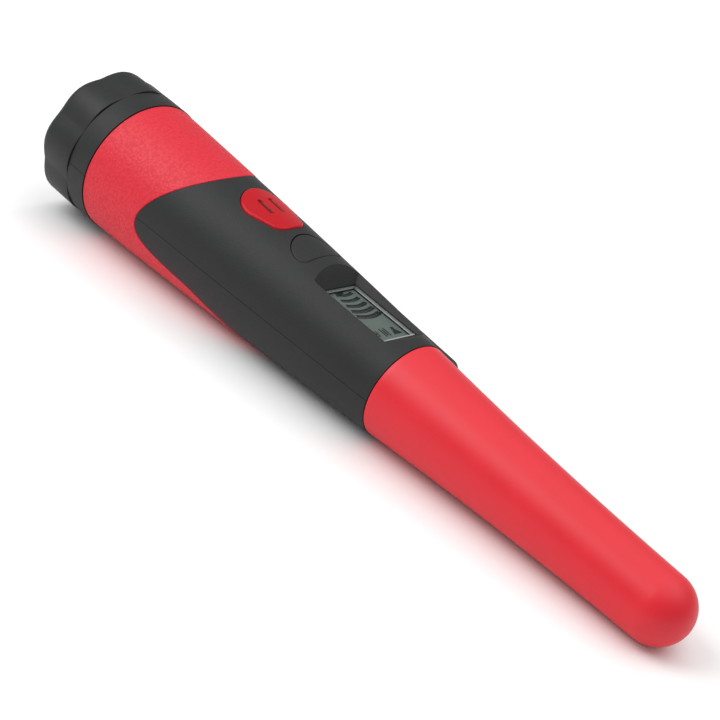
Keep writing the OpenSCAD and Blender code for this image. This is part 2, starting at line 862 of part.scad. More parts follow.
module clip_lever() {
    end_round = 2.4;
    spring_room = 3.2;
    color(black) at_pivot(blade_slope) difference() {
        intersection() {
            union() {
                translate([-tab_l, blade_in, -blade_w / 2]) cube([tab_l + blade_l, blade_t, blade_w]);
                translate([blade_l - bead_w, blade_in - bead_depth + 2, -blade_w / 2])
                    cube([bead_w, bead_depth - 1, blade_w]);
                translate([blade_l - bead_w / 2, blade_in - bead_depth + 2, -blade_w / 2])
                    cylinder(r = bead_w / 2, h = blade_w);
                translate([-knuckle_r, 0, -knuckle_w / 2]) cube([2 * knuckle_r, blade_in + 0.5, knuckle_w]);
                cylinder(r = knuckle_r, h = knuckle_w, center = true);
            }
            rotate([-90, 0, 0]) translate([0, 0, -8]) linear_extrude(height = 16) union() {
                translate([-tab_l, -blade_w / 2]) square([tab_l + blade_l - end_round, blade_w]);
                translate([-tab_l, -blade_w / 2 + end_round])
                    square([tab_l + blade_l, blade_w - 2 * end_round]);
                for (s = [-1, 1]) translate([blade_l - end_round, s * (blade_w / 2 - end_round)])
                    circle(r = end_round);
            }
        }
        cylinder(r = pin_r + tiny, h = big, center = true);
        translate([-3, -3, -spring_room / 2]) cube([6, blade_in + 3, spring_room]);
        for (i = [0:3]) translate([-tab_l + 1.6 + 1.6 * i, blade_in + blade_t + 0.1, 0])
            cylinder(r = 0.45, h = blade_w + 1, center = true);
    }
}

module clip_pin() {
    color(steel) at_pivot() cylinder(r = pin_r, h = pin_l, center = true);
}

// Torsion spring round the pin: one leg lies on the base and the other reaches under the thumb tab.
module clip_spring() {
    turns = 3;
    rise = 0.55;
    leg = 8;
    leg_top = 0.5;
    coil = [for (a = [-90:24:turns * 360 + 90])
        [spring_coil_r * cos(a), spring_coil_r * sin(a), rise * ((a + 90) / 360 - (turns + 0.5) / 2)]];
    low = coil[0].z;
    high = coil[len(coil) - 1].z;
    color(steel) at_pivot() wire(concat([[-leg, -spring_coil_r, low]], coil, [[-leg, leg_top, high]]),
        spring_wire);
}

end_cap();
cap_gasket();
battery_pad();
battery_tube();
battery_case();
battery_cells();
battery_terminals();
contact_board();
contact_springs();
battery_leads();
upper_shell();
lower_shell();
grip_sleeve();
shell_screws();
power_key();
power_switch();
power_stem();
function_key();
function_switch();
function_stem();
lcd_window();
lcd_glass();
backlight();
zebra_strips();
main_pcb();
board_chips();
buzzer();
motor_can();
motor_rotor();
nose_shell();
nose_seal();
ferrite_rod();
coil_former();
transmit_coil();
receive_coils();
rod_holder();
tip_cushion();
coil_leads();
clip_base();
clip_lever();
clip_pin();
clip_spring();
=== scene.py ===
# %% [markdown]
# # A pinpointer probe
# The probe is a hand-held metal detector about 240 mm long. Its screw cap, shells, keys, display,
# nose and belt clip were built as a CAD model. This script loads that model as a fixed frame, gives
# every part the finish that the real one has, and rebuilds the parts whose beauty is in their skin: the
# lobed cap, the leather-grained sleeve, the smooth nose, the two keys and the display.

# %% Load the imported model
import math

import bmesh
import bpy
import numpy as np
from mathutils import Matrix, Vector


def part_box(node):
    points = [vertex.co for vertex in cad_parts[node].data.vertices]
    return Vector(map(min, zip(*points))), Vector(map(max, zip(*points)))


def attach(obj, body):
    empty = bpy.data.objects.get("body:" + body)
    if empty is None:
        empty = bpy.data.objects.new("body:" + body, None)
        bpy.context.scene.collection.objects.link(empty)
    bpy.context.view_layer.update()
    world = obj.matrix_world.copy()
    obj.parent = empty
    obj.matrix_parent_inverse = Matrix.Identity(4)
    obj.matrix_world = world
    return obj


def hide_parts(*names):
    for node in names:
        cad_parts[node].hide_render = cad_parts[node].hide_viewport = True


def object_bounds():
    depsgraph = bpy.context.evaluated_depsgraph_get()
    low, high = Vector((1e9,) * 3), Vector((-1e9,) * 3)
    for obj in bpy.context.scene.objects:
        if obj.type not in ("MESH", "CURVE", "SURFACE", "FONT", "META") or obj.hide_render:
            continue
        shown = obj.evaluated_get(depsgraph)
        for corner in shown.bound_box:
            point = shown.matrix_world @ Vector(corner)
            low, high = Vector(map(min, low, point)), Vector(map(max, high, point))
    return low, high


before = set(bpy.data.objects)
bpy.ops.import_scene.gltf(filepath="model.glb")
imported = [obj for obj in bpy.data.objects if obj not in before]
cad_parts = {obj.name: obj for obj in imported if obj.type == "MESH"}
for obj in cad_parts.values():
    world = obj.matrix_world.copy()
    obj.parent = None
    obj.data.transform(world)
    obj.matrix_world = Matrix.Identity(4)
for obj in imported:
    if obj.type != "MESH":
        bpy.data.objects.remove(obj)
cad_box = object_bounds()
MM = 0.001
print("CAD box, mm:", [round((b - a) / MM, 1) for a, b in zip(*cad_box)])

# %% [markdown]
# ## Camera
# The probe lies across the frame, seen from its nose end, from above and from the key side. The camera
# stands half a metre away with a long lens, so that the taper is the probe's own and not perspective.
# A camera looks along its own -Z, so its matrix is written from its right, up and back directions.

# %% Camera
CAMERA_PLACE = Vector((0.3839, -0.3561, 0.2475))
CAMERA_RIGHT = Vector((0.6524, 0.6937, 0.3053))
CAMERA_UP = Vector((-0.5546, 0.1624, 0.8161))
LENS, SENSOR = 94.185, 36          # mm

back = CAMERA_RIGHT.cross(CAMERA_UP).normalized()
up = back.cross(CAMERA_RIGHT).normalized()
camera_data = bpy.data.cameras.new("studio_camera")
camera_data.lens = LENS
camera_data.sensor_width = SENSOR
camera_data.clip_start, camera_data.clip_end = 0.01, 20
camera = bpy.data.objects.new("studio_camera", camera_data)
bpy.context.scene.collection.objects.link(camera)
facing = Matrix((CAMERA_RIGHT.normalized(), up, back)).transposed().to_4x4()
camera.matrix_world = Matrix.Translation(CAMERA_PLACE) @ facing
bpy.context.scene.camera = camera
bpy.context.scene.view_settings.view_transform = "Standard"
print("camera looks along", [round(-c, 2) for c in back])

# %% [markdown]
# ## Helpers for finishes
# Every finish is a small node tree. One helper adds a node with its settings and links, and one turns a
# paint chip's sRGB hex value into the linear light that the shader works in. A pattern's scale is
# always written from a real size: `per_mm(0.4)` makes features about 0.4 mm apart.

# %% Finish helpers
def linear(chip):
    """A colour chip such as #C03040 as linear light with full alpha."""
    parts = [int(chip[i:i + 2], 16) / 255 for i in (1, 3, 5)]
    return (*[c / 12.92 if c <= 0.04045 else ((c + 0.055) / 1.055) ** 2.4 for c in parts], 1)


def per_mm(size):
    """The texture scale that gives features this many millimetres apart."""
    return 1 / (size * MM)


def add(tree, kind, settings=None, **links):
    """Adds a node. settings are its properties and socket values; links join its sockets to outputs.

    A link named _0 goes to socket 0, and in any other name an underscore stands for a space.
    """
    made = tree.nodes.new(kind)
    for key, value in (settings or {}).items():
        if isinstance(key, str) and hasattr(made, key):
            setattr(made, key, value)
        else:
            made.inputs[key].default_value = value
    for key, source in links.items():
        socket = int(key[1:]) if key[0] == "_" else key.replace("_", " ")
        tree.links.new(source, made.inputs[socket])
    return made


def new_finish(name):
    """An empty material, its node tree, its shader and the object's own coordinates."""
    made = bpy.data.materials.new(name)
    made.use_nodes = True
    tree = made.node_tree
    tree.nodes.clear()
    shader = add(tree, "ShaderNodeBsdfPrincipled")
    add(tree, "ShaderNodeOutputMaterial", Surface=shader.outputs[0])
    place = add(tree, "ShaderNodeTexCoord").outputs["Object"]
    return made, tree, shader, place


SHEEN_SPREAD = 0.06    # how far the grain moves the roughness either way


def moulded(name, dark, light, rough, grain, depth, patch=9.0, metal=0.0, ior=1.5):
    """A moulded or cast skin: slow patches in the colour, fine grain in the roughness and the bump.

    grain and patch are the sizes of the two patterns in mm, and depth is the grain's height in mm.
    """
    made, tree, shader, place = new_finish(name)
    shader.inputs["Metallic"].default_value = metal
    if not metal:
        shader.inputs["IOR"].default_value = ior
    patches = add(tree, "ShaderNodeTexNoise", {"Scale": per_mm(patch), "Detail": 4}, Vector=place)
    tint = add(tree, "ShaderNodeMix", {"data_type": "RGBA", 6: linear(dark), 7: linear(light)},
               _0=patches.outputs[0])
    tree.links.new(tint.outputs[2], shader.inputs["Base Color"])
    fine = add(tree, "ShaderNodeTexNoise", {"Scale": per_mm(grain), "Detail": 3, "Roughness": 0.6},
               Vector=place)
    sheen = add(tree, "ShaderNodeMapRange", {3: rough - SHEEN_SPREAD, 4: rough + SHEEN_SPREAD},
                _0=fine.outputs[0])
    tree.links.new(sheen.outputs[0], shader.inputs["Roughness"])
    relief = add(tree, "ShaderNodeBump", {"Strength": 0.6, "Distance": depth * MM}, Height=fine.outputs[0])
    tree.links.new(relief.outputs[0], shader.inputs["Normal"])
    return made


print("a 0.4 mm grain has scale", per_mm(0.4))

# %% [markdown]
# ## The plain finishes
# Most parts are moulded plastic, rubber or plated metal. They differ in colour, gloss and grain, so one
# recipe makes them all. Spark-eroded ABS has a fine dull grain, nylon is a little waxy, nitrile rubber
# is darker and softer, foam is coarse, and plated steel is bright with faint drawing marks.

# %% Plain finishes
finishes = {
    # Black ABS from a spark-eroded tool: satin, with a grain of about a third of a millimetre.
    "abs_black": moulded("abs_black", "#17181A", "#1E1F20", 0.55, 0.35, 0.12, ior=1.4),
    # The cap's ABS is the same plastic from a second tool, a touch darker.
    "abs_cap": moulded("abs_cap", "#161718", "#1D1E1F", 0.52, 0.4, 0.08, ior=1.4),
    # Glass-filled nylon of the clip: waxy and slightly glossier, to slide on a belt.
    "nylon_clip": moulded("nylon_clip", "#101112", "#191A1B", 0.42, 0.5, 0.03),
    # Nitrile rubber of the seals: dull, nearly without highlights.
    "nitrile_rubber": moulded("nitrile_rubber", "#0C0C0D", "#141415", 0.7, 0.3, 0.03),
    # Closed-cell foam: cells of about half a millimetre.
    "cell_foam": moulded("cell_foam", "#2A2C2F", "#3A3D40", 0.95, 0.5, 0.4, patch=3),
    # Moulded nylon of the battery tube: plain and slightly shiny.
    "tube_nylon": moulded("tube_nylon", "#141516", "#1C1D1E", 0.45, 0.4, 0.02),
    # Lacquered steel jacket of the battery, left without print.
    "lacquered_steel": moulded("lacquered_steel", "#20262B", "#2B3238", 0.28, 1.5, 0.01),
    # Bare steel cans of the battery's cells.
    "cell_sleeve": moulded("cell_sleeve", "#9DA1A6", "#B4B8BC", 0.35, 1.0, 0.01, metal=1.0),
    # Black-oxide steel of the shell screws: dark, so that they vanish in their holes.
    "oxide_steel": moulded("oxide_steel", "#1D1E20", "#28292B", 0.4, 0.25, 0.01, metal=1.0),
    # Nickel-plated steel of terminals, pins and springs.
    "nickel_steel": moulded("nickel_steel", "#B9BABC", "#CDCED0", 0.28, 0.25, 0.01, metal=1.0),
    # Glass laminate under green solder mask: glossy, with the weave showing faintly.
    "solder_mask": moulded("solder_mask", "#0D4A2B", "#135C37", 0.25, 0.6, 0.01),
    # Rolled phosphor bronze of the battery springs: warm and bright.
    "phosphor_bronze": moulded("phosphor_bronze", "#C79A52", "#D7AC66", 0.3, 0.3, 0.01, metal=1.0),
    # Extruded PVC of the lead wires: smooth and glossy.
    "pvc_red": moulded("pvc_red", "#9C141C", "#AF1C24", 0.35, 0.6, 0.01),
    # Moulded nylon of the switch bodies: dull black.
    "switch_nylon": moulded("switch_nylon", "#111213", "#1A1B1C", 0.5, 0.3, 0.02),
    # Acetal of the switch stems and the light guide: milky white.
    "acetal_white": moulded("acetal_white", "#D9D6CC", "#E6E3DA", 0.4, 0.4, 0.01),
    # Silicone of the striped connectors: dull pink.
    "contact_rubber": moulded("contact_rubber", "#B0606E", "#C17482", 0.7, 0.2, 0.02),
    # Moulded epoxy of chips and the sounder: sandy black.
    "chip_epoxy": moulded("chip_epoxy", "#0F1011", "#17181A", 0.6, 0.2, 0.03),
    # Sintered tungsten weight: grey, with a sandy grain.
    "sintered_metal": moulded("sintered_metal", "#7C7F83", "#8E9195", 0.45, 0.2, 0.03, metal=1.0),
    # Ground ferrite of the coil's core: dark grey, like fine slate.
    "ground_ferrite": moulded("ground_ferrite", "#2A2B2F", "#35363B", 0.5, 0.25, 0.02),
    # Natural nylon of the bobbin: cream.
    "former_nylon": moulded("former_nylon", "#D2C6A6", "#E0D5B8", 0.5, 0.5, 0.01),
    # Drawn copper under clear enamel: orange and glossy.
    "enamelled_copper": moulded("enamelled_copper", "#9A4A1E", "#B45C28", 0.25, 0.8, 0.005, metal=1.0),
}
print(len(finishes), "plain finishes")

CAD_FINISH = {
    "abs_black": ["upper_shell", "lower_shell"],
    "nylon_clip": ["clip_base", "clip_lever"],
    "nitrile_rubber": ["cap_gasket", "nose_seal"],
    "cell_foam": ["battery_pad", "rod_holder", "tip_cushion"],
    "tube_nylon": ["battery_tube"],
    "lacquered_steel": ["battery_case"],
    "cell_sleeve": ["battery_cells"],
    "oxide_steel": ["shell_screws"],
    "nickel_steel": ["battery_terminals", "motor_can", "clip_pin", "clip_spring"],
    "solder_mask": ["contact_board", "main_pcb"],
    "phosphor_bronze": ["contact_springs"],
    "pvc_red": ["battery_leads"],
    "switch_nylon": ["power_switch", "function_switch"],
    "acetal_white": ["power_stem", "function_stem", "backlight"],
    "contact_rubber": ["zebra_strips"],
    "chip_epoxy": ["board_chips", "buzzer"],
    "sintered_metal": ["motor_rotor"],
    "ground_ferrite": ["ferrite_rod"],
    "former_nylon": ["coil_former"],
    "enamelled_copper": ["coil_leads"],
}


def dress(thing, finish):
    """Gives an object one finish in place of whatever it came with."""
    thing.data.materials.clear()
    thing.data.materials.append(finish)


for finish_name, nodes in CAD_FINISH.items():
    for node in nodes:
        dress(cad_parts[node], finishes[finish_name])
print(sum(map(len, CAD_FINISH.values())), "CAD parts dressed")

# %% [markdown]
# ## The four special finishes
# The sleeve is a soft elastomer moulded over the shells. Its tool was etched with a leather pattern:
# irregular pebbles about a millimetre across with narrow creases between them, which get painted shade.
# The nose is harder, in satin red ABS, smooth, with only the faint line where its mould closed. The power
# key is silicone: dull, with its two sunk bars painted darker, partly a deeper red and partly painted
# shade. The cover plate over the display is clear polycarbonate, sawn to size.

# %% Leather-grained elastomer
PEBBLE = 0.85          # mm between the middles of two pebbles
leather, tree, shader, place = new_finish("elastomer_leather_grain")
STRAY = 0.7            # mm that a pebble strays from its even place
stray = add(tree, "ShaderNodeTexNoise", {"Scale": per_mm(1.6), "Detail": 2}, Vector=place)
bent = add(tree, "ShaderNodeMix", {"data_type": "RGBA", "blend_type": "LINEAR_LIGHT", 0: STRAY * MM},
           _6=place, _7=stray.outputs[1])
pebbles = add(tree, "ShaderNodeTexVoronoi", {"feature": "F1", "Scale": per_mm(PEBBLE)},
              Vector=bent.outputs[2])
fine = add(tree, "ShaderNodeTexNoise", {"Scale": per_mm(0.4), "Detail": 3}, Vector=place)
crown = add(tree, "ShaderNodeMapRange", {1: 0.1, 2: 0.75, 3: 1.0, 4: 0.0}, _0=pebbles.outputs[0])
grained = add(tree, "ShaderNodeMath", {"operation": "MULTIPLY_ADD", 1: 0.35}, _0=fine.outputs[0],
              _2=crown.outputs[0])
# Painted shade: the creases between the pebbles get a darker red than the pebbles' crowns.
crease_shade = add(tree, "ShaderNodeMix", {"data_type": "RGBA", 6: linear("#C90B24"), 7: linear("#D6142E")},
          _0=crown.outputs[0])
tree.links.new(crease_shade.outputs[2], shader.inputs["Base Color"])
sheen = add(tree, "ShaderNodeMapRange", {3: 0.62, 4: 0.46}, _0=crown.outputs[0])
tree.links.new(sheen.outputs[0], shader.inputs["Roughness"])
relief = add(tree, "ShaderNodeBump", {"Strength": 0.6, "Distance": 0.1 * MM}, Height=grained.outputs[0])
tree.links.new(relief.outputs[0], shader.inputs["Normal"])
shader.inputs["IOR"].default_value = 1.5
print("pebbles", PEBBLE, "mm")

# %% Satin red ABS of the nose, with its mould line
MOULD_LINE = 0.18      # mm, half the width of the line
satin, tree, shader, place = new_finish("abs_red_satin")
clouds = add(tree, "ShaderNodeTexNoise", {"Scale": per_mm(14), "Detail": 3}, Vector=place)
tone = add(tree, "ShaderNodeMix", {"data_type": "RGBA", 6: linear("#D20D22"), 7: linear("#DD1127")},
           _0=clouds.outputs[0])
axes = add(tree, "ShaderNodeSeparateXYZ", Vector=place)
off_line = add(tree, "ShaderNodeMath", {"operation": "ABSOLUTE"}, _0=axes.outputs["Z"])
line = add(tree, "ShaderNodeMapRange",
           {"interpolation_type": "SMOOTHSTEP", 1: 0.0, 2: MOULD_LINE * MM, 3: 1.0, 4: 0.0},
           _0=off_line.outputs[0])
orange_peel = add(tree, "ShaderNodeTexNoise", {"Scale": per_mm(0.5), "Detail": 2}, Vector=place)
height = add(tree, "ShaderNodeMath", {"operation": "MULTIPLY_ADD", 1: 0.3}, _0=orange_peel.outputs[0],
             _2=line.outputs[0])
tree.links.new(tone.outputs[2], shader.inputs["Base Color"])
gloss = add(tree, "ShaderNodeMapRange", {3: 0.4, 4: 0.5}, _0=clouds.outputs[0])
tree.links.new(gloss.outputs[0], shader.inputs["Roughness"])
relief = add(tree, "ShaderNodeBump", {"Strength": 0.5, "Distance": 0.04 * MM}, Height=height.outputs[0])
tree.links.new(relief.outputs[0], shader.inputs["Normal"])
print("nose finish ready")

# %% Silicone of the power key: its two sunk bars painted darker, partly a deeper red and partly painted shade
silicone, tree, shader, place = new_finish("silicone_red")
sunk = add(tree, "ShaderNodeAttribute", {"attribute_name": "sunk"})
dust = add(tree, "ShaderNodeTexNoise", {"Scale": per_mm(0.6), "Detail": 3}, Vector=place)
# Painted shade: the sunk bars are mixed to a much darker red, partly their own deeper red and partly painted
# shade in the recess.
bar_red_and_shade = add(tree, "ShaderNodeMix", {"data_type": "RGBA", 6: linear("#B40818"), 7: linear("#6A0208")},
              _0=sunk.outputs["Fac"])
tree.links.new(bar_red_and_shade.outputs[2], shader.inputs["Base Color"])
key_gloss = add(tree, "ShaderNodeMapRange", {3: 0.28, 4: 0.4}, _0=dust.outputs[0])
tree.links.new(key_gloss.outputs[0], shader.inputs["Roughness"])
relief = add(tree, "ShaderNodeBump", {"Strength": 0.4, "Distance": 0.02 * MM}, Height=dust.outputs[0])
tree.links.new(relief.outputs[0], shader.inputs["Normal"])
shader.inputs["IOR"].default_value = 1.43
shader.inputs["Specular IOR Level"].default_value = 0.25
print("key finish ready")

# %% Display: clear plate, its sawn ends, the cell behind it and the dark crystal
finishes["display_cell"] = moulded("display_cell", "#56645D", "#616F67", 0.35, 0.8, 0.002)
finishes["dark_crystal"] = moulded("dark_crystal", "#060B0C", "#0B1112", 0.35, 0.6, 0.002)
sawn = moulded("sawn_polycarbonate", "#B9BDBD", "#E4E6E6", 0.45, 0.5, 0.1, patch=2)
sawn.node_tree.nodes["Principled BSDF"].inputs["Alpha"].default_value = 0.75
clear, tree, shader, place = new_finish("clear_polycarbonate")
smears = add(tree, "ShaderNodeTexNoise", {"Scale": per_mm(7), "Detail": 3}, Vector=place)
wiped = add(tree, "ShaderNodeMapRange", {3: 0.05, 4: 0.14}, _0=smears.outputs[0])
tree.links.new(wiped.outputs[0], shader.inputs["Roughness"])
shader.inputs["Base Color"].default_value = linear("#141818")
shader.inputs["IOR"].default_value = 1.58
shader.inputs["Alpha"].default_value = 0.06
dress(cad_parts["lcd_glass"], finishes["display_cell"])
print("display finishes ready")

# %% [markdown]
# ## Helpers for shapes
# The rebuilt parts are skins of revolution about X, bent here and there by a rule. A skin is a stack of
# rings with quads between them. `skin` joins the rings and closes the poles, then makes every face point
# outwards. The handle and the nose follow the same outline rules as the CAD, so they meet it exactly.

# %% Outlines in millimetres
LENGTH, COLLAR_END, JUNCTION = 240, 21.8, 138.9
GRIP_R, JUNCTION_R, TIP_R = 21.0, 14.5, 9.65
TIP_X = LENGTH - TIP_R             # middle of the round tip
BOW, HOLLOW = 1.81, 2.9            # how far the handle bows out and the nose is hollowed
NOSE_R = JUNCTION_R - 0.1          # the nose starts a hair inside the shells


def handle_r(x):
    """The handle's radius at x."""
    t = (x - COLLAR_END) / (JUNCTION - COLLAR_END)
    return GRIP_R - (GRIP_R - JUNCTION_R - BOW) * t - BOW * t * t


def nose_r(x):
    """The nose's radius at x."""
    t = (x - JUNCTION) / (TIP_X - JUNCTION)
    return NOSE_R - (NOSE_R - TIP_R + HOLLOW) * t + HOLLOW * t * t


def rounded(corners, steps=5):
    """A closed or open line of [x, r, radius] corners, each turned into an arc of its radius."""
    out = []
    for i, (x, r, bend) in enumerate(corners):
        if not bend:
            out.append((x, r))
            continue
        here = np.array((x, r))
        before = np.array(corners[i - 1][:2]) - here
        after = np.array(corners[(i + 1) % len(corners)][:2]) - here
        before, after = before / np.linalg.norm(before), after / np.linalg.norm(after)
        half = math.acos(np.clip(before @ after, -1, 1)) / 2
        centre = here + (before + after) / np.linalg.norm(before + after) * bend / math.sin(half)
        a = here + before * bend / math.tan(half) - centre
        b = here + after * bend / math.tan(half) - centre
        sweep = math.pi - 2 * half
        for k in range(steps + 1):
            t = k / steps
            spoke = (math.sin((1 - t) * sweep) * a + math.sin(t * sweep) * b) / math.sin(sweep)
            out.append(tuple(centre + spoke))
    return out


def skin(name, rings, finish, loop=False, poles=()):
    """A mesh from rings of points (mm). loop joins the last ring to the first; poles close the ends."""
    count = len(rings[0])
    verts = [tuple(c * MM for c in p) for ring in rings for p in ring]
    faces = []
    for i in range(len(rings) - (0 if loop else 1)):
        a, b = i * count, (i + 1) % len(rings) * count
        faces += [(a + k, a + (k + 1) % count, b + (k + 1) % count, b + k) for k in range(count)]
    for pole, first in zip(poles, (0, (len(rings) - 1) * count)):
        verts.append(tuple(c * MM for c in pole))
        faces += [(first + k, first + (k + 1) % count, len(verts) - 1) for k in range(count)]
    mesh = bpy.data.meshes.new(name)
    mesh.from_pydata(verts, [], faces)
    work = bmesh.new()
    work.from_mesh(mesh)
    bmesh.ops.recalc_face_normals(work, faces=work.faces)
    work.to_mesh(mesh)
    work.free()
    mesh.shade_smooth()
    made = bpy.data.objects.new(name, mesh)
    bpy.context.scene.collection.objects.link(made)
    dress(made, finish)
    return made


def turned(name, line, finish, around, poles, bend=lambda r, x, a: r):
    """A solid of revolution about X from (x, r) points. bend(r, x, angle) may change the radius."""
    angles = [2 * math.pi * k / around for k in range(around)]
    rings = [[(x, bend(r, x, a) * math.sin(a), bend(r, x, a) * math.cos(a)) for a in angles]
             for x, r in line]
    return skin(name, rings, finish, False, poles)


def creases(thing, degrees=38):
    """Keeps edges sharper than this angle crisp, and the rest smooth."""
    thing.data.set_sharp_from_angle(angle=math.radians(degrees))
    return thing


print("handle radius at both ends:", [round(handle_r(x), 2) for x in (COLLAR_END, JUNCTION)])

# %% [markdown]
# ## Screw cap
# The cap is one moulding: eight soft lobes for wet fingers, a rounded rear edge, and a bore that screws
# on the battery tube. It could be a cylinder with eight cuts, but the real lobes swell smoothly, so the
# radius follows a raised cosine round the cap. Its valleys meet the collar almost flush and get deeper
# towards the rear, and the lobes fade out on the rear face. The thread is a ridge along a helix.

# %% Cap
CAP_L, LOBE_R, VALLEY_R, LOBES, LOBE_TURN = 14.0, 21.8, 21.05, 8, math.radians(6)
REAR_DEPTH = 0.3       # how much deeper the valleys are at the rear, mm
LOBE_POWER = 0.75      # under 1, the lobes are wider than the valleys
FADE_R, FADE_W = 19.2, 1.2         # the lobes grow from this radius over this width
BORE_R, CAP_FLOOR = 18.45, 2.6
REAR_ROUND, FRONT_ROUND, BORE_ROUND, FLOOR_ROUND = 2.8, 0.2, 0.3, 0.4


def lobed(r, x, a):
    """The radius r of the plain cap, sunk between its lobes at x and the angle a."""
    swell = ((1 + math.cos(LOBES * (a - LOBE_TURN))) / 2) ** LOBE_POWER
    share = min(1, max(0, (r - FADE_R) / FADE_W))
    return r - (LOBE_R - VALLEY_R + REAR_DEPTH * (1 - x / CAP_L)) * (1 - swell) * share


cap_line = rounded([
    (0, 10, 0), (0, 17, 0), (0, LOBE_R, REAR_ROUND), (CAP_L, LOBE_R, FRONT_ROUND),
    (CAP_L, BORE_R, BORE_ROUND), (CAP_FLOOR, BORE_R, FLOOR_ROUND), (CAP_FLOOR, 10, 0)], 6)
cap = creases(turned("cap_skin", cap_line, finishes["abs_cap"], 384, ((0, 0, 0), (CAP_FLOOR, 0, 0)), lobed))

# %% Thread
THREAD_X, THREAD_TURNS, PITCH, THREAD_AROUND = 7.1, 1.9, 3.0, 72
ROOT_R, CREST_R, ROOT_W, CREST_W = BORE_R + 0.25, 17.62, 1.6, 0.8
section = [(-ROOT_W / 2, ROOT_R), (-CREST_W / 2, CREST_R), (CREST_W / 2, CREST_R), (ROOT_W / 2, ROOT_R)]
rings = []
for i in range(round(THREAD_TURNS * THREAD_AROUND) + 1):
    a = 2 * math.pi * i / THREAD_AROUND
    x0 = THREAD_X + PITCH * i / THREAD_AROUND
    rings.append([(x0 + x, r * math.cos(a), r * math.sin(a)) for x, r in section])
ends = [np.mean(rings[i], axis=0) for i in (0, -1)]
thread = creases(skin("cap_thread", rings, finishes["abs_cap"], False, ends))
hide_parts("end_cap")
for piece in (cap, thread):
    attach(piece, "cap")
print("cap:", len(cap.data.polygons), "faces; thread:", len(thread.data.polygons))

# %% [markdown]
# ## Leather-grained sleeve
# The sleeve is one thin elastomer skin between the collar and the black shells. Its front edge is a long
# swoop: it crosses the top, runs back to a tongue on each side, and sweeps forward under the handle.
# A boolean cut would leave a ragged edge, so the skin is woven from its edge instead: for each angle
# round the handle, the strip of skin runs from the collar exactly to the swoop, with its edges rounded.

# %% Swoop: where the sleeve ends, seen from the side
SWOOP_TOP, SWOOP_NOSE, SWOOP_MID, SWOOP_TIP = (60, 19.6), (45.2, -0.8), (66, -8.9), (103, -17.5)
SWOOP_POWER, SWOOP_GAP = 1.6, 0.15
SWOOP_STEPS = (30, 20, 20)         # along the top line, the tongue and the keel, as in the CAD
ABOVE, AHEAD = 24, 106.0           # a height over the handle and an x past the sleeve's end
MEAN_R, EDGE_POINTS = 18, 330      # radius that weighs turn against x, and points along half the edge


def bezier(p, n):
    """n + 1 points of the curve with these four control points."""
    t = np.linspace(0, 1, n + 1)[:, None]
    p = np.array(p, float)
    s = 1 - t
    return s ** 3 * p[0] + 3 * s ** 2 * t * p[1] + 3 * s * t * t * p[2] + t ** 3 * p[3]


upper_z = np.linspace(ABOVE, SWOOP_NOSE[1], SWOOP_STEPS[0] + 1)
upper_x = SWOOP_NOSE[0] + (SWOOP_TOP[0] - SWOOP_NOSE[0]) * (
    (upper_z - SWOOP_NOSE[1]) / (SWOOP_TOP[1] - SWOOP_NOSE[1])) ** SWOOP_POWER
tongue = bezier([SWOOP_NOSE, (45.2, -6.5), (52, -7.6), SWOOP_MID], SWOOP_STEPS[1])
keel = bezier([SWOOP_MID, (76, -9.8), (80, -14), SWOOP_TIP], SWOOP_STEPS[2])
edge = np.concatenate([np.stack([upper_x - SWOOP_GAP, upper_z], 1), tongue[1:] - SWOOP_GAP,
                       keel[1:] - (0, SWOOP_GAP)])


def swoop_x(z):
    """The sleeve's front edge at a height."""
    return np.interp(-z, -edge[:, 1], edge[:, 0])


turns = np.radians(np.linspace(0, 180, 3001))
low, high = np.full_like(turns, COLLAR_END), np.full_like(turns, AHEAD)
for _ in range(40):
    middle = (low + high) / 2
    inside = middle < swoop_x(handle_r(middle) * np.cos(turns))
    low, high = np.where(inside, middle, low), np.where(inside, high, middle)
run = np.concatenate([[0], np.cumsum(np.hypot(np.diff(low), np.diff(turns) * MEAN_R))])
even = np.linspace(0, run[-1], EDGE_POINTS)
edge_turn, edge_x = np.interp(even, run, turns), np.interp(even, run, low)
print("sleeve edge from x =", round(edge_x[0], 1), "on top to", round(edge_x[-1], 1), "underneath")

# %% Sleeve skin
SLEEVE_T, SLEEVE_PROUD, SLEEVE_ROUND = 1.1, 0.1, 0.3
SLEEVE_BED = 0.06      # clearance under the sleeve, mm
rear = COLLAR_END + SWOOP_GAP
shares = np.linspace(0, 1, 44)
bow = [(math.sin(t), math.cos(t)) for t in np.radians((18, 36, 54, 72, 90))]
side_turns = np.concatenate([edge_turn, 2 * math.pi - edge_turn[-2:0:-1]])
side_ends = np.concatenate([edge_x, edge_x[-2:0:-1]])
rings = [[] for _ in range(len(shares) + 2 * len(bow) + 2)]
for a, front in zip(side_turns, side_ends):
    xs = rear + SLEEVE_ROUND + (front - rear - 2 * SLEEVE_ROUND) * shares
    strip = [(x, handle_r(x) + SLEEVE_PROUD) for x in xs]
    nose_edge = [(xs[-1] + SLEEVE_ROUND * s, strip[-1][1] - SLEEVE_ROUND * (1 - c)) for s, c in bow]
    tail_edge = [(xs[0] - SLEEVE_ROUND * s, strip[0][1] - SLEEVE_ROUND * (1 - c)) for s, c in bow[::-1]]
    bed = [(x, handle_r(x) - SLEEVE_T + SLEEVE_BED) for x in (front, rear)]
    for ring, (x, r) in zip(rings, tail_edge + strip + nose_edge + bed):
        ring.append((x, r * math.sin(a), r * math.cos(a)))
sleeve = creases(skin("grip_skin", rings, leather, True), 50)
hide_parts("grip_sleeve")
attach(sleeve, "housing")
print("sleeve:", len(sleeve.data.polygons), "faces")

# %% [markdown]
# ## Nose
# The nose is the sensing end: a long hollow cone that sweeps in a shallow curve to a round tip, with a
# neck that plugs into the shells. It is turned from one line, from the inner tip out along the bore,
# round the neck and its two grooves, and back along the outside to the outer tip.

